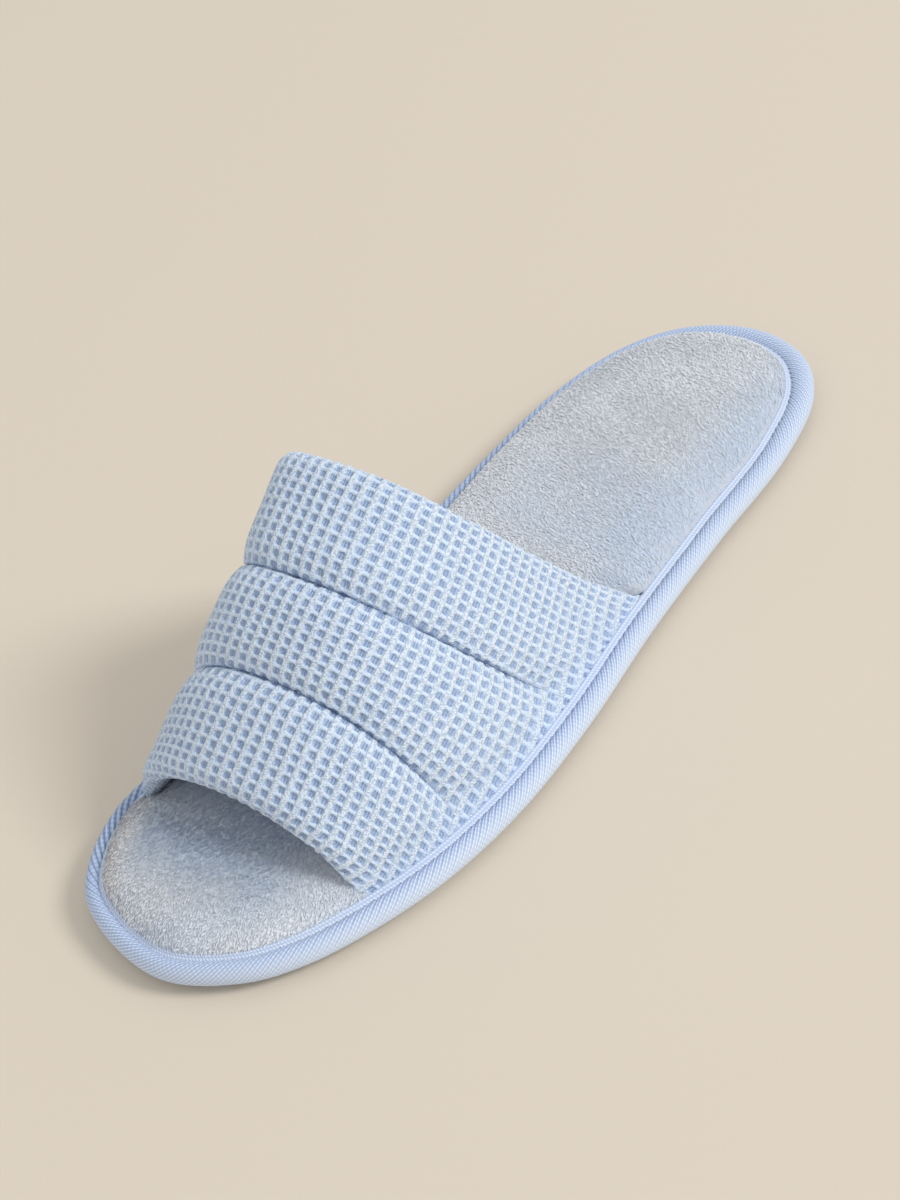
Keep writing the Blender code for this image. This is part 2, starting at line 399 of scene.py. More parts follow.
# The fifth column of this table is painted light: 1 where the tape faces the lamp, low where it lies in
# shade.
TAPE_STRETCHES = [
    # share round from the heel, roll_width, lap_width, pleat_pull, painted_light_share, rib_spread, rib_lean
    (0.00, 6.4, 1.8, 0.30, 0.5, 1.00, 1.25),
    (0.06, 5.9, 1.8, 0.70, 0.7, 1.00, 1.60),
    (0.12, 4.7, 2.0, 1.00, 1.0, 1.00, 1.80),
    (0.18, 4.0, 2.3, 1.00, 1.0, 1.00, 1.60),
    (0.25, 4.0, 2.3, 1.00, 1.0, 1.00, 1.40),
    (0.41, 4.0, 2.2, 1.00, 1.0, 1.00, 1.25),
    (0.46, 4.1, 1.6, 0.30, 0.8, 1.00, 1.25),
    (0.53, 4.2, 1.5, 0.25, 0.5, 1.20, 1.40),
    (0.58, 4.3, 1.5, 0.95, 0.1, 1.40, 1.60),
    (0.64, 4.3, 1.7, 1.00, 0.1, 1.40, 1.60),
    (0.72, 4.3, 1.8, 0.70, 0.2, 1.20, 1.40),
    (0.80, 4.3, 1.8, 0.70, 0.2, 1.00, 1.25),
    (0.84, 3.4, 1.3, 0.70, 0.2, 1.00, 1.25),
    (0.90, 3.4, 1.3, 0.60, 0.3, 1.00, 1.25),
    (0.95, 4.6, 1.6, 0.30, 0.4, 1.00, 1.25),
    (1.00, 6.4, 1.8, 0.30, 0.5, 1.00, 1.25),
]
TAPE_STATIONS = 1560
ROLL_STEPS = 41
LAP_STEPS = 7
LAP_RUN = 2.3
LAP_BACK_STEP = 0.6
ROLL_BACK_STEP = 1.5
RIB_PITCH = 2.55
RIB_RISE = 0.26
RIB_START = 0.8
RIB_STOP = 13.0
RIB_END = 3.0
RIB_FADE = 4.0
PLEAT_DEPTH = 0.15
PLEAT_REACH = 3.2
STITCH_DIP = 0.14
DIP_REACH = 0.6
TWILL_LINES = 2.0
DASH_PITCH = 0.7
LAP_THREAD = 0.95
SLIT_PITCH = 3.1
TAPE_WHITE = (0.83, 0.90, 0.99, 1.0)
TAPE_PALE = (0.65, 0.77, 0.97, 1.0)
TAPE_BLUE = (0.36, 0.50, 0.80, 1.0)
# Painted shade tones for the pleat folds, on the lit side and on the side away from the lamp.
TAPE_PLEAT_SHADE = (0.36, 0.47, 0.74, 1.0)
TAPE_SHADE = (0.14, 0.22, 0.42, 1.0)
TAPE_LAP = (0.50, 0.63, 0.90, 1.0)
TAPE_HOLE_SHADE = (0.07, 0.11, 0.24, 1.0)

edge, normal, around = sole_edge(TAPE_STATIONS)
stretches = np.array(TAPE_STRETCHES)
round_share = np.arange(TAPE_STATIONS) / TAPE_STATIONS
roll_width, lap_width, pleat_pull, painted_light_share, rib_spread, rib_lean = (
    np.interp(round_share, stretches[:, 0], column) for column in stretches[:, 1:].T
)
roll = open_curve(ROLL_SECTION, ROLL_STEPS)
lap = open_curve(LAP_SECTION, LAP_STEPS)[1:]
crease_height = ROLL_SECTION[-1][1]
steady = np.ones(TAPE_STATIONS)
outermost = int(np.argmin(roll[:, 0]))
widen = roll_width / ROLL_SECTION[-1][0]
inset = [row * (widen if k > outermost else steady) for k, row in enumerate(roll[:, 0])]
height = [row * steady for row in roll[:, 1]]
for share, rise in [*lap, *LAP_BACK]:
    inset.append(roll_width + share * lap_width)
    height.append((crease_height + rise) * steady)
inset = np.array(inset + [row[0] * steady for row in ROLL_BACK])
height = np.array(height + [row[1] * steady for row in ROLL_BACK])
roll_steps = np.linalg.norm(np.diff(roll, axis=0), axis=1)
roll_run = np.concatenate([np.cumsum(roll_steps[::-1])[::-1], [0.0]])
back_rows = np.arange(1, len(LAP_BACK) + len(ROLL_BACK) + 1)
back_v = back_rows * np.where(back_rows <= len(LAP_BACK), LAP_BACK_STEP, ROLL_BACK_STEP)
tape_v = np.concatenate([roll_run, -lap[:, 0] * LAP_RUN, -LAP_RUN - back_v])
ribs_so_far = np.cumsum(1 / rib_spread)
rib_count = round(around / RIB_PITCH * np.mean(1 / rib_spread))
tape_u = (ribs_so_far - ribs_so_far[0]) / ribs_so_far[-1] * rib_count
out_v = np.maximum(roll_run, 0.0)[:, None]
fold = np.abs(np.mod(tape_u - out_v * rib_lean / RIB_PITCH, 1.0) - 0.5) * 2
rib = (1 - fold**2) * RIB_RISE * np.clip(out_v / RIB_START, 0, 1)
rib *= np.clip((RIB_STOP - out_v) / RIB_END, 0, 1)
rib *= (0.35 + 0.65 * np.exp(-out_v / RIB_FADE)) * (0.2 + 0.8 * pleat_pull)
pleat = np.clip((fold - 0.5) / 0.5, 0, 1) * PLEAT_DEPTH * np.exp(-((out_v / PLEAT_REACH) ** 2)) * pleat_pull
dip = np.clip((fold - 0.6) / 0.4, 0, 1) * STITCH_DIP * np.exp(-((out_v / DIP_REACH) ** 2))
lift = rib - pleat - dip
along_roll = np.gradient(roll, axis=0)
along_roll /= np.linalg.norm(along_roll, axis=1)[:, None]
inset[:ROLL_STEPS] -= along_roll[:, 1:] * lift
height[:ROLL_STEPS] += along_roll[:, :1] * lift
shape = np.concatenate([edge[None] - normal[None] * inset[:, :, None], height[:, :, None]], axis=2)

tape, start, shader = finish_of("twill_tape", Roughness=0.8, Sheen_Weight=0.2, Sheen_Roughness=0.5)
u, v, _ = start.node("ShaderNodeUVMap", {"uv_map": "tape"}).parts()
pull, painted_light, lean = (stored(start, name) for name in ("pleat", "painted_light", "lean"))
slant = u - v * lean / RIB_PITCH
valley = abs(slant.fract() - 0.5) * 2
dash = ((v / DASH_PITCH + slant * 2.0).wave() * 0.55 + 0.45) * ((slant * TWILL_LINES).wave() * 0.9 + 0.1)
dash = dash.step(0.15, 0.7)
outer = v.step(1.0, 5.5)
# Painted light: where the tape faces the lamp, its outer roll and its dashes are painted paler.
painted_light_outer = outer * painted_light
painted_light_dash = painted_light_outer * 0.4 + painted_light.step(0.2, 0.6) * 0.6
stripe = dash.mix((painted_light_outer * 0.7).mix(TAPE_BLUE, TAPE_PALE), painted_light_dash.mix(TAPE_PALE, TAPE_WHITE))
sunny = painted_light.step(0.1, 0.6)
cord = (1 - valley.step(0.08, 0.22)) * pull.step(0.1, 1.0) * 0.8 * (1 - sunny)
fine = (slant * TWILL_LINES + 0.5).wave() * 0.4 * sunny
# Painted shade in the pleat folds near the crease, deeper on the side away from the lamp, with fine twill
# lines on the lit side.
broad = valley.step(sunny * 0.15 + 0.2, sunny * 0.35 + 0.5) * (1 - sunny * 0.15)
pleat_shade_and_twill = (broad + fine) * (1 - v.step(0.4, (1 - painted_light) * 9.0 + 7.5)) * pull
pleat_shade_tone = sunny.mix(TAPE_SHADE, TAPE_PLEAT_SHADE)
roll_tone = (pleat_shade_and_twill * (0.88 - dash * 0.35)).mix(cord.mix(stripe, TAPE_WHITE), pleat_shade_tone)
thread_u = u * RIB_PITCH / LAP_THREAD
lap_row = (v / LAP_THREAD).wave() ** 0.6 * ((thread_u + v / LAP_THREAD * 0.5).wave() * 0.8 + 0.2)
lap_tone = (lap_row * 1.4).mix(TAPE_LAP, TAPE_WHITE)
on_lap = 1 - v.step(-0.25, 0.0)
ragged = noise(place_of(start), 170.0)
# Painted shade in the needle holes along the crease, on the lit side, and in the gaps along the lap's inner
# edge.
needle = (1 - abs(v - 0.1).step(0.2, 0.5)) * valley.step(0.4, 0.65) * pull.step(0.25, 0.8)
needle = needle * painted_light.step(0.15, 0.5) * ragged.step(0.36, 0.5) * 0.8
slit_gap = abs((u * RIB_PITCH / SLIT_PITCH + ragged).fract() - 0.5) * 2
slit = (1 - v.step(-LAP_RUN * 0.95, -LAP_RUN * 0.72)) * slit_gap.step(0.72, 0.9)
hole_shade = needle.sum("MAXIMUM", needle, slit * 0.8)
wire(hole_shade.mix(on_lap.mix(roll_tone, lap_tone), TAPE_HOLE_SHADE), shader, "Base Color")
woven = on_lap * lap_row + (1 - on_lap) * (dash * 0.6 + cord)
wire(bump(start, woven, 0.00025, 0.8), shader, "Normal")

faces = grid_faces(len(inset), TAPE_STATIONS, closed=True)
last = (len(inset) - 1) * TAPE_STATIONS
ring = np.arange(TAPE_STATIONS)
following = np.roll(ring, -1)
faces += np.column_stack([last + ring, ring, following, last + following]).tolist()
binding = piece("edge_tape", shape, faces, tape)
for name, column in (("pleat", pleat_pull), ("painted_light", painted_light_share), ("lean", rib_lean)):
    store(binding, name, np.tile(column, len(inset)))


def lay_uv(made, name, u, v, around=None):
    """A UV map; around is the length of a closed loop in its own units, whose last face runs on past it."""
    mesh = made.data
    corner = np.zeros(len(mesh.loops), int)
    mesh.loops.foreach_get("vertex_index", corner)
    pairs = np.column_stack([np.ravel(u)[corner], np.ravel(v)[corner]])
    if around:
        total = np.zeros(len(mesh.polygons), int)
        mesh.polygons.foreach_get("loop_total", total)
        owner = np.repeat(np.arange(len(total)), total)
        furthest = np.maximum.reduceat(pairs[:, 0], np.concatenate([[0], np.cumsum(total)[:-1]]))
        pairs[:, 0] += np.where(furthest[owner] - pairs[:, 0] > around / 2, around, 0.0)
    mesh.uv_layers.new(name=name).data.foreach_set("uv", pairs.ravel().astype(np.float32))


laid_u = np.tile(tape_u, (len(inset), 1))
laid_v = np.tile(tape_v[:, None], (1, TAPE_STATIONS))
lay_uv(binding, "tape", laid_u, laid_v, rib_count)
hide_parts("edge_binding")
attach(binding, "root")
around * MM

# The tape is held by one row of lockstitch in its crease, in thread of its own pale blue.
# Each stitch spans from needle hole to needle hole and sinks a little into the weave.
CREASE_STITCH = {"Pitch": RIB_PITCH * MM, "Stitch Length": 1.9 * MM, "Thread": 0.34 * MM}
STITCH_SINK = 0.05
THREAD_PALE = (0.66, 0.74, 0.88, 1.0)
THREAD_SHADE = (0.48, 0.58, 0.76, 1.0)
thread, start, shader = finish_of("sewing_thread", Roughness=0.6, Sheen_Weight=0.2)
place = place_of(start)
twist = start.node("ShaderNodeTexWave", {"bands_direction": "DIAGONAL"}, {"Vector": place, "Scale": 900.0})
wire(twist.mix(THREAD_SHADE, THREAD_PALE), shader, "Base Color")
wire(bump(start, twist, 0.0001, 0.6), shader, "Normal")


def sewn(name, line, closed, sizes, wear):
    """A row of stitches along a line, each a slim grain of thread laid along it."""
    count = len(line)
    ends = [(k, (k + 1) % count) for k in range(count if closed else count - 1)]
    mesh = bpy.data.meshes.new(name + "_line")
    mesh.from_pydata(placed(line).tolist(), ends, [])
    path = bpy.data.objects.new(name + "_line", mesh)
    bpy.context.scene.collection.objects.link(path)
    given = size_tree(name, sizes)
    curve = given["Geometry"].node("GeometryNodeMeshToCurve", None, {0: given["Geometry"]})
    by_length = {"Curve": curve, "Length": given["Pitch"]}
    spaced = curve.node("GeometryNodeResampleCurve", {"mode": "LENGTH"}, by_length)
    grain = curve.node("GeometryNodeMeshUVSphere", None, {"Segments": 6, "Rings": 4, "Radius": 0.5})
    size = {0: given["Thread"], 1: given["Thread"], 2: given["Stitch Length"]}
    size = curve.node("ShaderNodeCombineXYZ", None, size)
    grain = grain.node("GeometryNodeTransform", None, {"Geometry": grain, "Scale": size})
    tangent = curve.node("GeometryNodeInputTangent")
    turn = tangent.node("FunctionNodeAlignRotationToVector", {"axis": "Z"}, {"Vector": tangent})
    laid = {"Points": spaced, "Instance": grain, "Rotation": turn}
    stitches = spaced.node("GeometryNodeInstanceOnPoints", None, laid)
    made = grown(name + "_stitches", path, sizes, stitches, wear)
    bpy.data.objects.remove(path)
    return made


half_on = np.roll(edge - normal * roll_width[:, None], -round(TAPE_STATIONS / rib_count / 2), axis=0)
crease_line = np.column_stack([half_on, (crease_height - STITCH_SINK) * steady])
crease_stitches = sewn("crease", crease_line, True, CREASE_STITCH, thread)
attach(crease_stitches, "root")

# The insole is a foam cushion covered in short plush with a soft, brushed pile.
# Its edge is caught under the tape's lap, so it domes up, and it is cut back for the band's feet.
INSOLE_EDGE = [
    # inset beyond the lap's end, height
    (-0.5, 7.9),
    (-0.3, 8.7),
    (0.3, 9.7),
    (1.4, 10.8),
    (3.2, 11.9),
    (6.0, 13.0),
    (9.5, 13.8),
]
INSOLE_CROWN = [
    # share of the way from the edge to the spine, height
    (0.15, 14.5),
    (0.35, 14.75),
    (0.60, 14.95),
    (0.85, 15.05),
    (0.97, 15.1),
]
SPINE_HEEL = 42.0
SPINE_TOE = 216.0
BAND_ROOM = 4.6
ROOM_FADE = 6.0
ROOM_BACK = 112.0
ROOM_FRONT = 217.0
INSOLE_STATIONS = 420
PILE_PER_MM2 = 7.2
PILE_HIDDEN = 0.15
TUFT_LENGTH = 1.3
TUFT_WIDTH = 0.34
TUFT_LIFT = 0.22
PILE_SEED = 5
TOEWARD_Y = (-0.06, 0.0)
HIDDEN_FRONT_Y = (-0.075, -0.068)
HIDDEN_BACK_Y = (-0.028, -0.015)
BEHIND_BAND_Y = (0.02, 0.07)
TOE_TIP_Y = (-0.118, -0.1)
TOE_NEAR_X = (0.015, 0.03)
TOE_NEAR_Y = (-0.1, -0.085)
HEEL_NEAR_X = (0.014, 0.034)
HEEL_NEAR_Y = (-0.02, 0.03)
EDGE_SLOPE = 0.32
CREAM_Y = (-0.115, -0.07)
CREAM_EDGE = (-0.067, -0.060)
INWARD_EDGE = (-0.067, -0.058)
FOOT_X = (-0.03, -0.012)
FOOT_Y = (-0.097, -0.09)
SHADE_NEAR_X = (0.008, 0.024)
SHADE_FRONT_Y = (-0.115, -0.097)
SHADE_BACK_Y = (-0.06, -0.03)
HOLLOW_X = (-0.008, 0.01)
HOLLOW_FRONT_Y = (-0.118, -0.104)
HOLLOW_BACK_Y = (-0.1, -0.088)
PLUSH_LIGHT = (0.93, 0.945, 0.965, 1.0)
PLUSH_GREY = (0.60, 0.63, 0.68, 1.0)
PLUSH_BLUE = (0.58, 0.72, 0.90, 1.0)
PLUSH_SHADOW = (0.30, 0.42, 0.57, 1.0)
PLUSH_CREAM = (0.97, 0.92, 0.87, 1.0)
PLUSH_ROOT_SHADE = (0.56, 0.61, 0.68, 1.0)


def smooth(value):
    """A soft step from 0 to 1."""
    value = np.clip(value, 0.0, 1.0)
    return value * value * (3.0 - 2.0 * value)


plush, start, shader = finish_of("plush_pile", Roughness=0.95, Sheen_Weight=0.15, Sheen_Roughness=0.6)
place = place_of(start)
at_x, at_y, _ = place.parts()
shade = stored(start, "shade")
tip = stored(start, "tip")
brushed = noise(place, 50.0, 2.0)
tinted = noise(place, 26.0, 1.0)
toeward = 1 - at_y.step(*TOEWARD_Y)
marks = []
for stretch in ((1.0, 2.0, 1.0), (2.0, 1.0, 1.0)):
    drawn = place.node("ShaderNodeVectorMath", {"operation": "MULTIPLY"}, {0: place, 1: stretch})
    marks.append(noise(drawn, 680.0, 1.0))
fibre = (marks[0] * (1 - toeward) + marks[1] * toeward).step(0.34, 0.58)
# Painted light: the pile is lightened behind the band on the heel side, at the toe's tip and at the toe's
# lateral side.
painted_light_behind_band = (1 - at_y.step(*BEHIND_BAND_Y)) * (1 - toeward)
painted_light_at_toe = 1 - at_y.step(*TOE_TIP_Y)
hair = shade * 0.2 + brushed.step(0.35, 0.65) * 0.2 + fibre * 0.42 + 0.04 + painted_light_behind_band * 0.2 + painted_light_at_toe * 0.25
hair = hair + at_x.step(*TOE_NEAR_X) * (1 - at_y.step(*TOE_NEAR_Y)) * 0.3
hair = hair.step(0.0, 1.0).mix(PLUSH_GREY, PLUSH_LIGHT)
by_heel = at_y.step(*HEEL_NEAR_Y) * at_x.step(*HEEL_NEAR_X)
hair = (tinted.step(0.5, 0.75) * 0.4 + by_heel * 0.7).mix(hair, PLUSH_BLUE)
from_edge = at_x + at_y * EDGE_SLOPE
by_toe = (1 - at_y.step(*CREAM_Y)) * (1 - from_edge.step(*CREAM_EDGE))
hair = (by_toe * 0.7).mix(hair, PLUSH_CREAM)
inward = from_edge.step(*INWARD_EDGE)
by_foot = (1 - at_x.step(*FOOT_X)) * at_y.step(*FOOT_Y)
# Painted shadow: the pile under and just ahead of the band's front edge is darkened and blued, less by the
# band's medial foot, not at all on the lateral side, and deepest in a hollow ahead of the band's middle.
band_shadow = at_y.step(*SHADE_FRONT_Y) * (1 - at_y.step(*SHADE_BACK_Y))
band_shadow = band_shadow * (1 - by_foot * 0.6) * (1 - at_x.step(*SHADE_NEAR_X))
hollow_shade = at_y.step(*HOLLOW_FRONT_Y) * (1 - at_y.step(*HOLLOW_BACK_Y)) * (1 - at_x.step(*HOLLOW_X)) * 0.3
hair = (inward * (band_shadow * (tinted * 0.4 + 0.45) + hollow_shade)).mix(hair, PLUSH_SHADOW)
# Painted shade: each tuft darkens toward its root.
wire(tip.step(-0.1, 0.7).mix(PLUSH_ROOT_SHADE, hair), shader, "Base Color")

backing, start, shader = finish_of("plush_backing", Roughness=0.95)
place = place_of(start)
nap = noise(place, 700.0, 3.0)
# Painted shade: the cushion under the pile is mixed between the tufts' root tone and grey by a nap noise.
wire(nap.step(0.3, 0.7).mix(PLUSH_ROOT_SHADE, PLUSH_GREY), shader, "Base Color")
wire(bump(start, nap, 0.0006, 0.7), shader, "Normal")

edge, normal, _ = sole_edge(INSOLE_STATIONS)
lap_end = np.interp(np.arange(INSOLE_STATIONS) / INSOLE_STATIONS, round_share, roll_width + lap_width)
room = BAND_ROOM * smooth((edge[:, 1] - ROOM_BACK + ROOM_FADE) / ROOM_FADE)
room *= smooth((ROOM_FRONT + ROOM_FADE - edge[:, 1]) / ROOM_FADE)
rings = []
for beyond, level in INSOLE_EDGE:
    line = edge - normal * (lap_end + beyond + room)[:, None]
    rings.append(np.column_stack([line, np.full(INSOLE_STATIONS, level)]))
rim = rings[-1][:, :2]
spine_y = np.clip(rim[:, 1], SPINE_HEEL, SPINE_TOE)
spine_x = np.interp(spine_y, [row[0] for row in OUTLINE], [(row[1] - row[2]) / 2 for row in OUTLINE])
spine = np.column_stack([spine_x, spine_y])
for share, level in INSOLE_CROWN:
    rings.append(np.column_stack([rim + (spine - rim) * share, np.full(INSOLE_STATIONS, level)]))
faces = grid_faces(len(rings), INSOLE_STATIONS, closed=True)
top = (len(rings) - 1) * INSOLE_STATIONS
faces.append(tuple(reversed(range(top, top + INSOLE_STATIONS))))
faces.append(tuple(range(INSOLE_STATIONS)))
insole = piece("insole_cushion", np.vstack(rings), faces, backing)
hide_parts("insole")
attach(insole, "root")

sizes = {
    "Tufts per m2": PILE_PER_MM2 / MM**2,
    "Hidden Share": PILE_HIDDEN,
    "Tuft Length": TUFT_LENGTH * MM,
    "Tuft Width": TUFT_WIDTH * MM,
    "Lift": TUFT_LIFT,
    "Seed": PILE_SEED,
}
given = size_tree("plush_tufts", sizes)
ground = given["Geometry"]
facing = ground.node("GeometryNodeInputNormal").parts()[2]
upward = facing.node("FunctionNodeCompare", {"operation": "GREATER_THAN"}, {0: facing, 1: 0.6})
where = ground.node("GeometryNodeInputPosition")
length_y = where.parts()[1]
below_band = length_y.step(*HIDDEN_FRONT_Y) * (1 - length_y.step(*HIDDEN_BACK_Y))
thick = given["Tufts per m2"] * (1 - below_band * (1 - given["Hidden Share"]))
spread = ground.node(
    "GeometryNodeDistributePointsOnFaces",
    None,
    {"Mesh": ground, "Selection": upward, "Density": thick, "Seed": given["Seed"]},
)
leaf_normal = Strand(spread.tree, spread.socket.node.outputs["Normal"])
toeward = 1 - length_y.step(*TOEWARD_Y)
waft = ground.node("ShaderNodeTexNoise", None, {"Vector": where, "Scale": 60.0, "Detail": 2.0}, 1)
any_way, any_tilt = (
    ground.node(
        "FunctionNodeRandomValue",
        {"data_type": "FLOAT_VECTOR"},
        {0: (-far,) * 3, 1: (far,) * 3, "Seed": seed},
    )
    for far, seed in ((0.35, 11), (0.32, 13))
)


def vector_sum(operation, first, second):
    socket = "Scale" if operation == "SCALE" else 1
    return first.node("ShaderNodeVectorMath", {"operation": operation}, {0: first, socket: second})


swirl = vector_sum("SCALE", vector_sum("SUBTRACT", waft, (0.5, 0.5, 0.5)), 1.3)
nap_way = toeward.node(
    "ShaderNodeMix", {"data_type": "VECTOR"}, {0: toeward, 4: (-0.8, 0.2, 0.0), 5: (0.15, -0.85, 0.0)}, 1
)
lean = vector_sum("ADD", vector_sum("ADD", nap_way, swirl), any_way)
tilted = vector_sum("ADD", leaf_normal, any_tilt)
tilted = vector_sum("SUBTRACT", tilted, vector_sum("SCALE", lean, given["Lift"]))
turn = lean.node(
    "FunctionNodeAxesToRotation",
    {"primary_axis": "Z", "secondary_axis": "Y"},
    {"Primary Axis": tilted, "Secondary Axis": lean},
)
shade = ground.node("FunctionNodeRandomValue", {"data_type": "FLOAT"}, {2: 0.0, 3: 1.0, "Seed": 3}, 1)
marked = spread.node(
    "GeometryNodeStoreNamedAttribute", None, {"Geometry": spread, "Name": "shade", "Value": shade}
)
tuft = ground.node("GeometryNodeMeshCircle", {"fill_type": "NGON"}, {"Vertices": 4, "Radius": 0.5})
tuft_size = {0: given["Tuft Width"], 1: given["Tuft Length"], 2: 1.0}
tuft_size = ground.node("ShaderNodeCombineXYZ", None, tuft_size)
tuft_root = ground.node("ShaderNodeCombineXYZ", None, {1: given["Tuft Length"] * 0.5})
moved = {"Geometry": tuft, "Translation": tuft_root, "Scale": tuft_size}
tuft = tuft.node("GeometryNodeTransform", None, moved)
rise = tuft.node("GeometryNodeInputPosition").parts()[1] / given["Tuft Length"]
tuft = tuft.node("GeometryNodeStoreNamedAttribute", None, {"Geometry": tuft, "Name": "tip", "Value": rise})
vary = ground.node("FunctionNodeRandomValue", {"data_type": "FLOAT"}, {2: 0.65, 3: 1.2, "Seed": 7}, 1)
planted = {"Points": marked, "Instance": tuft, "Rotation": turn, "Scale": vary}
pile_shape = marked.node("GeometryNodeInstanceOnPoints", None, planted)
pile = grown("insole_pile", insole, sizes, pile_shape, plush)
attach(pile, "root")

# The upper is one band of waffle cloth over soft padding, open at toe and heel, with two seams across.
# The seams make three puffed channels, the free edges are turned under, and the tape holds the feet.
BAND_LINES = [
    # lateral_y, medial_y, crown_sweep, sweep_power, crown_height, squareness, crown_shift
    (221.5, 218.5, 1.5, 1.00, 20.0, 1.95, 3.0),
    (191.9, 191.8, 7.3, 1.06, 38.3, 2.23, -2.8),
    (147.4, 146.4, 32.5, 0.85, 54.0, 2.52, -5.5),
    (108.7, 107.5, 45.5, 0.78, 67.9, 2.80, -7.8),
]
BAND_INSET = 7.9
FOOT_LINE = 9.3
FOOT_FLARE = 2.0
FLARE_REACH = 3.2
FOOT_TUCK = 0.9
WALL = 2.2
CHANNELS = 3
CHANNEL_RISE = 2.4
CHANNEL_POWER = 3.6
LINING_RISE = 0.7
FREE_EDGE_DROP = 0.4
EDGE_ROUND = 0.045
EDGE_ROWS = 18
UNDER_SHARES = (0.085, 0.075, 0.065, 0.055)
LINING_CLEAR = 0.25
FOOT_DROP = 1.2
MARGIN = 12.0
SEAM_DEPTH = 1.0
SEAM_REACH = 0.5
SEAM_FLAT = 0.8
SEAM_PROBES = 5
SEAM_TUCK = (0.4, 0.8)
THREAD_SINK = 0.4
SEAM_FADE = (3.0, 26.0)
SEAM_SHADE = (0.16, 0.25, 0.44, 1.0)
PUCKER_PITCH = 6.1
PUCKER_DEPTH = 0.22
PUCKER_REACH = 3.0
PUCKER_WANDER = 9.0
CELL_ALONG = 2.62
FOOT_EASE = 0.45
EASE_GIRTH = (0.012, 0.087)
GRAIN = [
    # power of the share front to back, power of the girth share, cells_across, cells_along
    (0, 1, 27.3, 13.5),
    (0, 2, 16.3, -20.2),
    (0, 3, -56.4, 8.3),
    (0, 4, 42.3, -1.4),
    (1, 0, -16.0, 39.8),
    (1, 1, 11.6, -16.6),
    (1, 2, 68.8, 10.8),
    (1, 3, -55.8, 5.3),
    (2, 0, 6.2, -8.7),
    (2, 1, -1.7, -3.7),
    (3, 0, -2.9, 7.1),
]
CELL_HALF_WIDTH = 0.29
CELL_HALF_LENGTH = 0.33
CELL_CORNER = 4.0
CELL_WALL = (0.74, 1.18)
RIDGE_EDGE = (0.245, 0.345)
PUFF_DROP = 0.15
CELL_DEPTH = 0.70
RELIEF_MIDDLE = 0.6
RELIEF_RUN = 2.5
RELIEF_AT_FOOT = 0.3
CLOTH_STEP = 0.305
RIDGE_LIGHT = (0.77, 0.87, 0.98, 1.0)
RIDGE_GREY = (0.50, 0.61, 0.75, 1.0)
RIDGE_WARM = (0.68, 0.70, 0.71, 1.0)
PUFF_LIGHT = (0.71, 0.83, 0.99, 1.0)
PUFF_BLUE = (0.57, 0.71, 0.93, 1.0)
CELL_BLUE = (0.30, 0.42, 0.64, 1.0)
CELL_LIGHT = (0.52, 0.65, 0.87, 1.0)
CREASES = [
    # share front to back, share of the girth from the lateral foot, slant, length, width, depth
    (0.300, 0.075, 12.0, 7.0, 2.6, 0.50),
    (0.365, 0.070, -10.0, 7.0, 2.6, 0.45),
    (0.635, 0.075, 10.0, 7.5, 2.6, 0.50),
    (0.700, 0.070, -14.0, 7.0, 2.6, 0.45),
    (0.300, 0.925, 10.0, 8.0, 2.8, 0.55),
    (0.640, 0.930, -12.0, 8.0, 2.8, 0.55),
    (0.900, 0.120, 30.0, 9.0, 3.0, 0.35),
    (0.080, 0.880, -25.0, 8.0, 3.0, 0.35),
    (0.500, 0.160, 20.0, 10.0, 4.0, -0.30),
    (0.120, 0.985, 0.0, 14.0, 13.0, -1.60),
    (0.860, 0.680, 0.0, 16.0, 12.0, 1.50),
]
edge, normal, _ = sole_edge(720)


def foot_line(side):
    """The band's foot line on one side of the sole, sorted by distance from the heel."""
    line = edge - normal * BAND_INSET
    line = line[(line[:, 0] - TOE_TIP_X) * side > 0]
    return line[np.argsort(line[:, 1])]


def band_sizes(share):
    """The band's sizes at a share of the way from front to back, on a smooth curve through the rows."""
    rows = np.asarray(BAND_LINES)
    slopes = np.gradient(rows, axis=0)
    place = min(share * CHANNELS, CHANNELS - 1e-9)
    low = int(place)
    t = place - low
    return (
        (2 * t**3 - 3 * t**2 + 1) * rows[low]
        + (t**3 - 2 * t**2 + t) * slopes[low]
        + (3 * t**2 - 2 * t**3) * rows[low + 1]
        + (t**3 - t**2) * slopes[low + 1]
    )


FEET = {side: foot_line(side) for side in (1, -1)}


def band_line(share, count):
    """One cross line of the band's base surface, from the lateral foot over the crown to the medial foot."""
    lateral_y, medial_y, sweep, power, height, square, shift = band_sizes(share)
    lateral_x = np.interp(lateral_y, FEET[1][:, 1], FEET[1][:, 0])
    medial_x = np.interp(medial_y, FEET[-1][:, 1], FEET[-1][:, 0])
    turn = np.linspace(0.0, np.pi, 1441)
    across = np.sign(np.cos(turn)) * np.abs(np.cos(turn)) ** (2 / square)
    up = np.clip(np.sin(turn), 0.0, 1.0) ** (2 / square)
    x = (lateral_x + medial_x) / 2 + (lateral_x - medial_x) / 2 * across + shift * up
    y = lateral_y + (medial_y - lateral_y) * (1 - across) / 2 + sweep * up**power
    flare = np.exp(-((height * up / FLARE_REACH) ** 2))
    x += np.sign(across) * FOOT_FLARE * flare
    return even_steps(np.column_stack([x, y, FOOT_LINE + height * up - FOOT_TUCK * flare]), count)


def channel_rise(share, channel):
    """How far a channel stands up at a share, from 0 at a seam to 1 at its middle."""
    place = share * CHANNELS - channel
    off = np.abs(2 * place - 1) ** CHANNEL_POWER
    free = ((channel == 0) & (place < 0.5)) | ((channel == CHANNELS - 1) & (place > 0.5))
    return 1.0 - off * np.where(free, FREE_EDGE_DROP, 1.0)


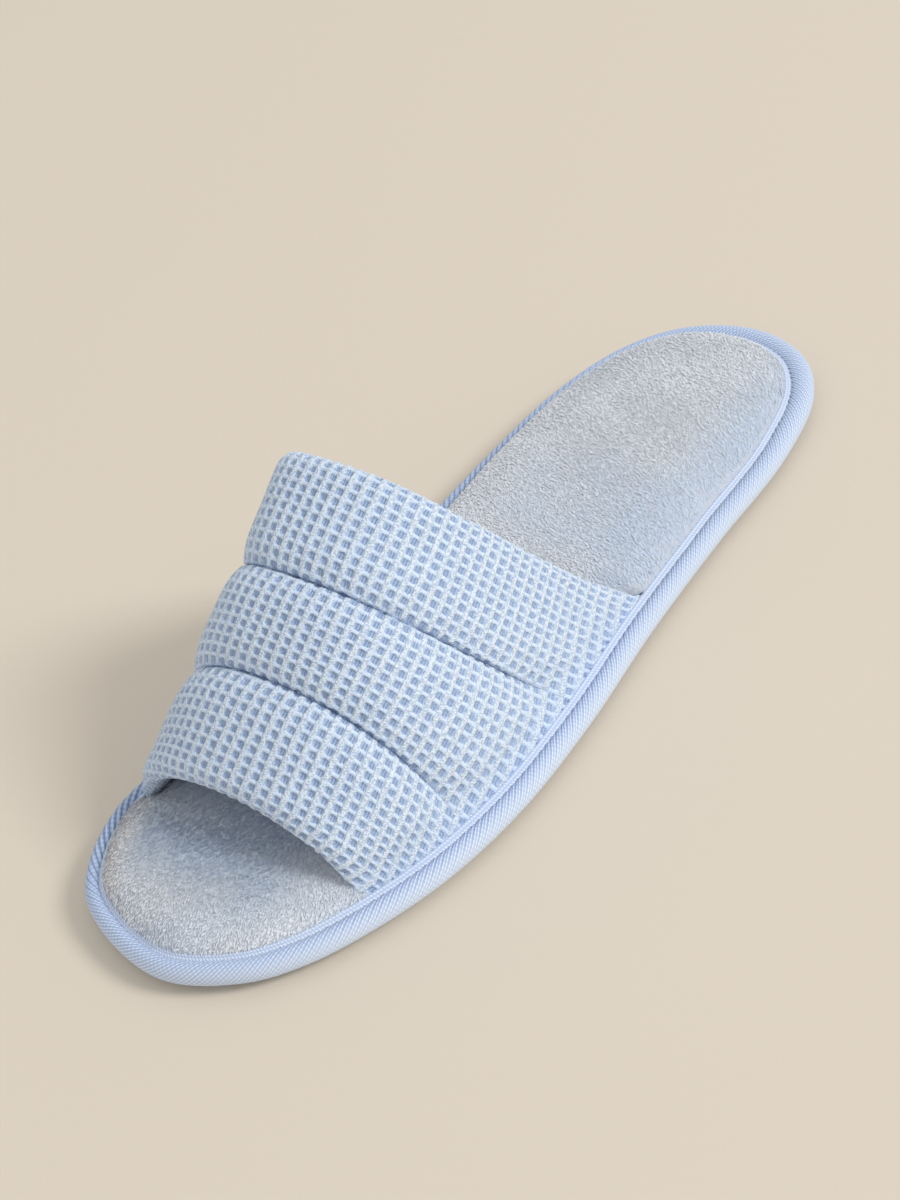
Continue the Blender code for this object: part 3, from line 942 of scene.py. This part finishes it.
def base_surface(shares, count):
    """The band's base grid, its outward normals, and the distance along it from the nearer foot."""
    grid = np.array([band_line(share, count) for share in shares])
    along = np.gradient(grid, axis=0)
    over = np.gradient(grid, axis=1)
    out = np.cross(over, along)
    out /= np.linalg.norm(out, axis=2)[:, :, None] + 1e-9
    if out[len(shares) // 2, count // 2, 2] < 0:
        out = -out
    run = np.cumsum(np.linalg.norm(np.diff(grid, axis=1, prepend=grid[:, :1]), axis=2), axis=1)
    return grid, out, np.minimum(run, run[:, -1:] - run)


def grain(shares, count):
    """How the cloth lies: cells of its weave across and along, at each share of the band and of its girth."""
    share = np.asarray(shares, float)[:, None]
    girth = np.linspace(0.0, 1.0, count)[None, :]
    across = sum(row[2] * share ** row[0] * girth ** row[1] for row in GRAIN)
    along = sum(row[3] * share ** row[0] * girth ** row[1] for row in GRAIN)
    across = across - FOOT_EASE * smooth((girth - EASE_GIRTH[0]) / (EASE_GIRTH[1] - EASE_GIRTH[0]))
    return across, along


def out_of_cell(column, row):
    """How far a place is from the middle of its cell, 1 at the rounded wall; for arrays and for strands."""
    corner = (column / CELL_HALF_WIDTH) ** CELL_CORNER + (row / CELL_HALF_LENGTH) ** CELL_CORNER
    return corner ** (1 / CELL_CORNER)


def waffle(across, along):
    """The weave's relief: 1 on the ridges along the grain, less on the puffs, 0 on a cell's floor."""
    column = np.abs(np.mod(across, 1.0) - 0.5)
    row = np.abs(np.mod(along, 1.0) - 0.5)
    raised = smooth((out_of_cell(column, row) - CELL_WALL[0]) / (CELL_WALL[1] - CELL_WALL[0]))
    ridge = smooth((column - RIDGE_EDGE[0]) / (RIDGE_EDGE[1] - RIDGE_EDGE[0]))
    return raised * (1 - PUFF_DROP * (1 - ridge))


def panel_shares(channel):
    """Rows of a channel's cloth, front to back: the share, and the wall's face, 1 outside and -1 inside."""
    first, last = channel / CHANNELS, (channel + 1) / CHANNELS
    turned = EDGE_ROUND * (1 - np.cos(np.linspace(0.0, np.pi / 2, EDGE_ROWS)))
    under = [(share, -1) for share in UNDER_SHARES]
    rows = []
    if channel == 0:
        rows += under + [(share, -1) for share in turned[:0:-1]] + [(share, 1) for share in turned]
        first = EDGE_ROUND
    stop = 1 - EDGE_ROUND if channel == CHANNELS - 1 else last
    longest = np.linalg.norm(np.diff([band_line(share, 3)[0] for share in (first, stop)], axis=0))
    count = int(longest / CLOTH_STEP)
    rows += [(share, 1) for share in np.linspace(first, stop, count)[1 if channel == 0 else 0 :]]
    if channel == CHANNELS - 1:
        rows += [(1 - share, 1) for share in turned[-2::-1]] + [(1 - share, -1) for share in turned[1:]]
        rows += [(1 - share, side) for share, side in reversed(under)]
    return rows


cloth, start, shader = finish_of("waffle_cloth", Roughness=0.88, Sheen_Weight=0.2, Sheen_Roughness=0.5)
u, v, _ = start.node("ShaderNodeUVMap", {"uv_map": "cloth"}).parts()
column = abs(u.fract() - 0.5)
row = abs(v.fract() - 0.5)
place = place_of(start)
fleck = noise(place, 1150.0, 1.0)
raised = (out_of_cell(column, row) + (fleck - 0.5) * 0.9).step(*CELL_WALL)
ridge = (column + (fleck - 0.5) * 0.25).step(*RIDGE_EDGE)
speck = noise(place, 1700.0, 0.0)
warp = (u * 5.0).wave()
weft = (v * 4.0 + u * 2.0).wave()
ridge_tone = (weft * 0.12 + speck.step(0.36, 0.6) * 0.85).mix(RIDGE_GREY, RIDGE_LIGHT)
ridge_tone = (fleck.step(0.56, 0.64) * 0.4).mix(ridge_tone, RIDGE_WARM)
puff_tone = (speck.step(0.4, 0.65) * 0.6).mix(PUFF_LIGHT, PUFF_BLUE)
cell_tone = (warp * 0.65 + speck.step(0.4, 0.6) * 0.35).mix(CELL_BLUE, CELL_LIGHT)
face_tone = raised.mix(cell_tone, ridge.mix(puff_tone, ridge_tone))
in_seam = stored(start, "seam")
in_seam = (in_seam + (fleck - 0.5) * 1.6 * in_seam.step(0.02, 0.3)).step(0.3, 1.0)
broken = noise(place, 300.0, 0.0)
in_seam = in_seam * (broken.step(0.38, 0.58) * 0.5 + 0.3)
wire(in_seam.mix(face_tone, SEAM_SHADE), shader, "Base Color")
threads = ridge * (weft * 0.2 + speck) + (1 - ridge) * (1 - raised) * warp + fleck * 0.5
wire(bump(start, threads, 0.0003, 0.9), shader, "Normal")

seam_lines = {}
for channel, name in enumerate(("band_front", "band_middle", "band_rear")):
    rows = panel_shares(channel)
    shares = np.array([share for share, _ in rows])
    faced = np.array([side for _, side in rows])
    widest = np.linalg.norm(np.diff(band_line(shares.max(), 200), axis=0), axis=1).sum()
    count = int(widest / CLOTH_STEP)
    spread_shares = np.unique(shares)
    grid, out, foot = base_surface(spread_shares, count)
    pick = np.searchsorted(spread_shares, shares)
    grid, out, foot = grid[pick], out[pick], foot[pick]
    across, along = grain(shares, count)
    girth = np.linspace(0.0, 1.0, count)[None, :]
    run_over = girth * np.linalg.norm(np.diff(grid, axis=1), axis=2).sum(axis=1)[:, None]
    fade = smooth(foot / MARGIN)
    rise = channel_rise(shares, channel)[:, None]
    reach = np.minimum(np.minimum(shares, 1 - shares) / EDGE_ROUND, 1.0)
    nose = np.sqrt(np.maximum(0.0, 1 - (1 - reach) ** 2))[:, None]
    puffed = CHANNEL_RISE * rise * fade
    back = WALL + LINING_RISE * rise * fade
    offset = (puffed - back) / 2 + faced[:, None] * (puffed + back) / 2 * nose
    offset -= (faced[:, None] < 0) * LINING_CLEAR
    flatten = np.ones_like(offset)
    seam_mark = np.zeros_like(offset)
    for seam in range(1, CHANNELS):
        if seam in (channel, channel + 1):
            other = (seam + (1 if seam == channel else -1) / SEAM_PROBES) / CHANNELS
            probe = band_line(seam / CHANNELS, count) - band_line(other, count)
            channel_length = np.linalg.norm(probe, axis=1) * SEAM_PROBES
            gap = np.abs(shares[:, None] * CHANNELS - seam) * channel_length[None, :]
            sewn_in = smooth((foot - SEAM_FADE[0]) / (SEAM_FADE[1] - SEAM_FADE[0]))
            wander = np.sin(run_over / PUCKER_WANDER) * 2
            pucker = 0.5 + 0.5 * np.cos(run_over * 2 * np.pi / PUCKER_PITCH + wander)
            offset -= SEAM_DEPTH * (0.55 + 0.45 * pucker) * np.exp(-((gap / SEAM_REACH) ** 2)) * sewn_in
            offset -= PUCKER_DEPTH * pucker * np.exp(-gap / PUCKER_REACH) * sewn_in
            flatten *= smooth(gap / SEAM_FLAT)
            seam_mark += np.exp(-((gap / SEAM_REACH) ** 2)) * sewn_in
    crown_run = np.linalg.norm(grid[-1, count // 2] - grid[0, count // 2])
    for place_share, place_girth, slant, length, width, depth in CREASES:
        lengthwise = (shares[:, None] - place_share) * crown_run * CHANNELS
        crosswise = run_over - place_girth * run_over[:, -1:]
        turned = np.radians(slant)
        on = lengthwise * np.sin(turned) + crosswise * np.cos(turned)
        off = lengthwise * np.cos(turned) - crosswise * np.sin(turned)
        offset -= depth * np.exp(-((on / length) ** 2) - (off / width) ** 2) * (faced[:, None] > 0)
    surface = grid + out * offset[:, :, None]
    if channel == 0:
        first = int(np.argmax((faced > 0) & (shares >= EDGE_ROUND)))
        for row in range(first - 1, -1, -1):
            along[row] = along[row + 1] - np.linalg.norm(surface[row] - surface[row + 1], axis=1) / CELL_ALONG
            across[row] = across[first]
    if channel == CHANNELS - 1:
        first = len(rows) - 1 - int(np.argmax(((faced > 0) & (shares <= 1 - EDGE_ROUND))[::-1]))
        for row in range(first + 1, len(rows)):
            along[row] = along[row - 1] + np.linalg.norm(surface[row] - surface[row - 1], axis=1) / CELL_ALONG
            across[row] = across[first]
    face_out = np.cross(np.gradient(surface, axis=1), np.gradient(surface, axis=0))
    face_out /= np.linalg.norm(face_out, axis=2)[:, :, None] + 1e-9
    middle_row = int(np.argmax(rise[:, 0] * (faced > 0)))
    if face_out[middle_row, count // 2, 2] < 0:
        face_out = -face_out
    relief = (waffle(across, along) - RELIEF_MIDDLE) * CELL_DEPTH * flatten
    relief = relief * smooth(foot / RELIEF_RUN + RELIEF_AT_FOOT)
    surface = surface + face_out * relief[:, :, None]
    for seam, row in ((channel, 0), (channel + 1, -1)):
        if 0 < seam < CHANNELS:
            tucks = [surface[row] - out[row] * depth for depth in SEAM_TUCK]
            seam_lines[seam] = surface[row] - out[row] * SEAM_TUCK[0] * THREAD_SINK
            fields = (across, along, seam_mark)
            pads = [np.repeat(field[[row]], len(SEAM_TUCK), axis=0) for field in fields]
            pads.append(tucks[::-1] if row == 0 else tucks)
            across, along, seam_mark, surface = (
                np.concatenate((pad, field) if row == 0 else (field, pad))
                for pad, field in zip(pads, (*fields, surface))
            )
    across, along, seam_mark = (
        np.pad(field, ((0, 0), (1, 1)), mode="edge") for field in (across, along, seam_mark)
    )
    surface = np.pad(surface, ((0, 0), (1, 1), (0, 0)), mode="edge")
    surface[:, [0, -1], 2] -= FOOT_DROP
    panel = piece(name, surface, grid_faces(len(surface), count + 2), cloth)
    lay_uv(panel, "cloth", across, along)
    store(panel, "seam", seam_mark)
    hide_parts("upper")
    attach(panel, "root")

# Two rows of lockstitch hold the channels apart, down in the grooves of the band.
# They are sewn in the tape's own thread and stop short of the feet.
SEAM_STITCH = {"Pitch": 3.0 * MM, "Stitch Length": 2.5 * MM, "Thread": 0.4 * MM}
SEAM_ENDS = SEAM_FADE[0] + 2
for seam, line in seam_lines.items():
    run = np.cumsum(np.linalg.norm(np.diff(line, axis=0, prepend=line[:1]), axis=1))
    line = line[(run > SEAM_ENDS) & (run < run[-1] - SEAM_ENDS)]
    stitches = sewn(f"seam_{seam}", line, False, SEAM_STITCH, thread)
    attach(stitches, "root")

# The lining is a smooth knit, sewn to the wadding and hidden except from inside the band.
# It meets the turned-under edges of the waffle cloth at the front and back.
LINING_BLUE = (0.52, 0.62, 0.80, 1.0)
LINING_SHADE = (0.42, 0.52, 0.72, 1.0)
LINING_ROWS = 70
LINING_COLUMNS = 200
LINING_SPAN = (0.03, 0.97)
KNIT_LOOPS = 3.0
knit, start, shader = finish_of("knit_lining", Roughness=0.9, Sheen_Weight=0.2, Sheen_Roughness=0.5)
u, v, _ = start.node("ShaderNodeUVMap", {"uv_map": "knit"}).parts()
loops = (u * KNIT_LOOPS).wave() * (v * KNIT_LOOPS + (u * KNIT_LOOPS).wave() * 0.5).wave()
wire(loops.mix(LINING_SHADE, LINING_BLUE), shader, "Base Color")
wire(bump(start, loops, 0.0002, 0.7), shader, "Normal")
shares = np.linspace(*LINING_SPAN, LINING_ROWS)
grid, out, foot = base_surface(shares, LINING_COLUMNS)
channel_of = np.minimum((shares * CHANNELS).astype(int), CHANNELS - 1)
rise = np.array([channel_rise(share, channel) for share, channel in zip(shares, channel_of)])[:, None]
lining_in = WALL + LINING_RISE * rise * smooth(foot / MARGIN)
across, along = grain(shares, LINING_COLUMNS)
lining_surface = grid - out * lining_in[:, :, None]
faces = [face[::-1] for face in grid_faces(LINING_ROWS, LINING_COLUMNS)]
lining = piece("band_lining", lining_surface, faces, knit)
lay_uv(lining, "knit", across, along)
over = np.diff(lining_surface, axis=1)
down = np.diff(lining_surface, axis=0)
lining_girth = np.linalg.norm(over, axis=2).sum(axis=1).max()
lining_length = np.linalg.norm(down, axis=2).sum(axis=0).max()
lining_area = np.linalg.norm(np.cross(over[:-1], down[:, :-1]), axis=2).sum()
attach(lining, "root")
lining_girth * MM
lining_length * MM
lining_area * MM**2

# The floor is a plain pale sheet, lit by an even studio and one large soft lamp far off on the lateral side.
FLOOR_TONE = (0.80, 0.71, 0.59, 1.0)
FLOOR_CLOUD = (0.79, 0.70, 0.58, 1.0)
STUDIO_TONE = (0.955, 0.96, 0.965, 1.0)
STUDIO_STRENGTH = 0.66
ground = bpy.data.meshes.new("floor")
ground.from_pydata([(-6, -6, 0), (6, -6, 0), (6, 6, 0), (-6, 6, 0)], [], [(0, 1, 2, 3)])
floor = bpy.data.objects.new("floor", ground)
bpy.context.scene.collection.objects.link(floor)
floor_finish, start, shader = finish_of("floor_paper", Roughness=0.9)
place = place_of(start)
cloudy = noise(place, 3.0)
wire(cloudy.mix(FLOOR_TONE, FLOOR_CLOUD), shader, "Base Color")
ground.materials.append(floor_finish)

world = bpy.data.worlds.new("studio")
world.use_nodes = True
world.node_tree.nodes["Background"].inputs["Color"].default_value = STUDIO_TONE
world.node_tree.nodes["Background"].inputs["Strength"].default_value = STUDIO_STRENGTH
bpy.context.scene.world = world


def soft_lamp(name, place, width, power, tone):
    lamp = bpy.data.lights.new(name, "AREA")
    lamp.shape = "DISK"
    lamp.size = width
    lamp.energy = power
    lamp.color = tone
    made = bpy.data.objects.new(name, lamp)
    made.location = place
    made.rotation_mode = "QUATERNION"
    made.rotation_quaternion = (Vector((0.0, 0.0, 0.02)) - Vector(place)).to_track_quat("-Z", "Y")
    bpy.context.scene.collection.objects.link(made)


soft_lamp("key", (3.8, 1.32, 2.96), 1.6, 124.0, (0.98, 0.98, 0.98))

# The camera stands in front of the lateral side and looks down, rolled as the shoe lies in the picture.
AZIMUTH, ELEVATION, ROLL = np.radians((49.53, 40.12, -19.32))
FOCAL_PX = 2381.0
PICTURE_HEIGHT = 1200.0
SENSOR = 36.0
AIM = Vector((0.00249, -0.00003, 0.0))
DISTANCE = 0.6237
CENTRE_OFF = (-46.9, 38.5)
away = Vector((np.sin(AZIMUTH) * np.cos(ELEVATION), -np.cos(AZIMUTH) * np.cos(ELEVATION), np.sin(ELEVATION)))
right = Vector((np.cos(AZIMUTH), np.sin(AZIMUTH), 0.0))
above = away.cross(right)
right, above = (
    right * np.cos(ROLL) + above * np.sin(ROLL),
    above * np.cos(ROLL) - right * np.sin(ROLL),
)
stand = AIM + away * DISTANCE
back = (away - right * (CENTRE_OFF[0] / FOCAL_PX) - above * (CENTRE_OFF[1] / FOCAL_PX)).normalized()
right = above.cross(back).normalized()
above = back.cross(right)
lens = bpy.data.cameras.new("camera")
lens.sensor_width = SENSOR
lens.lens = FOCAL_PX * SENSOR / PICTURE_HEIGHT
lens.clip_start, lens.clip_end = 0.01, 50.0
camera = bpy.data.objects.new("camera", lens)
camera.matrix_world = Matrix(
    [[*row, spot] for row, spot in zip(zip(right, above, back), stand)] + [[0.0, 0.0, 0.0, 1.0]]
)
bpy.context.scene.collection.objects.link(camera)
bpy.context.scene.camera = camera
bpy.context.scene.view_settings.view_transform = "Standard"
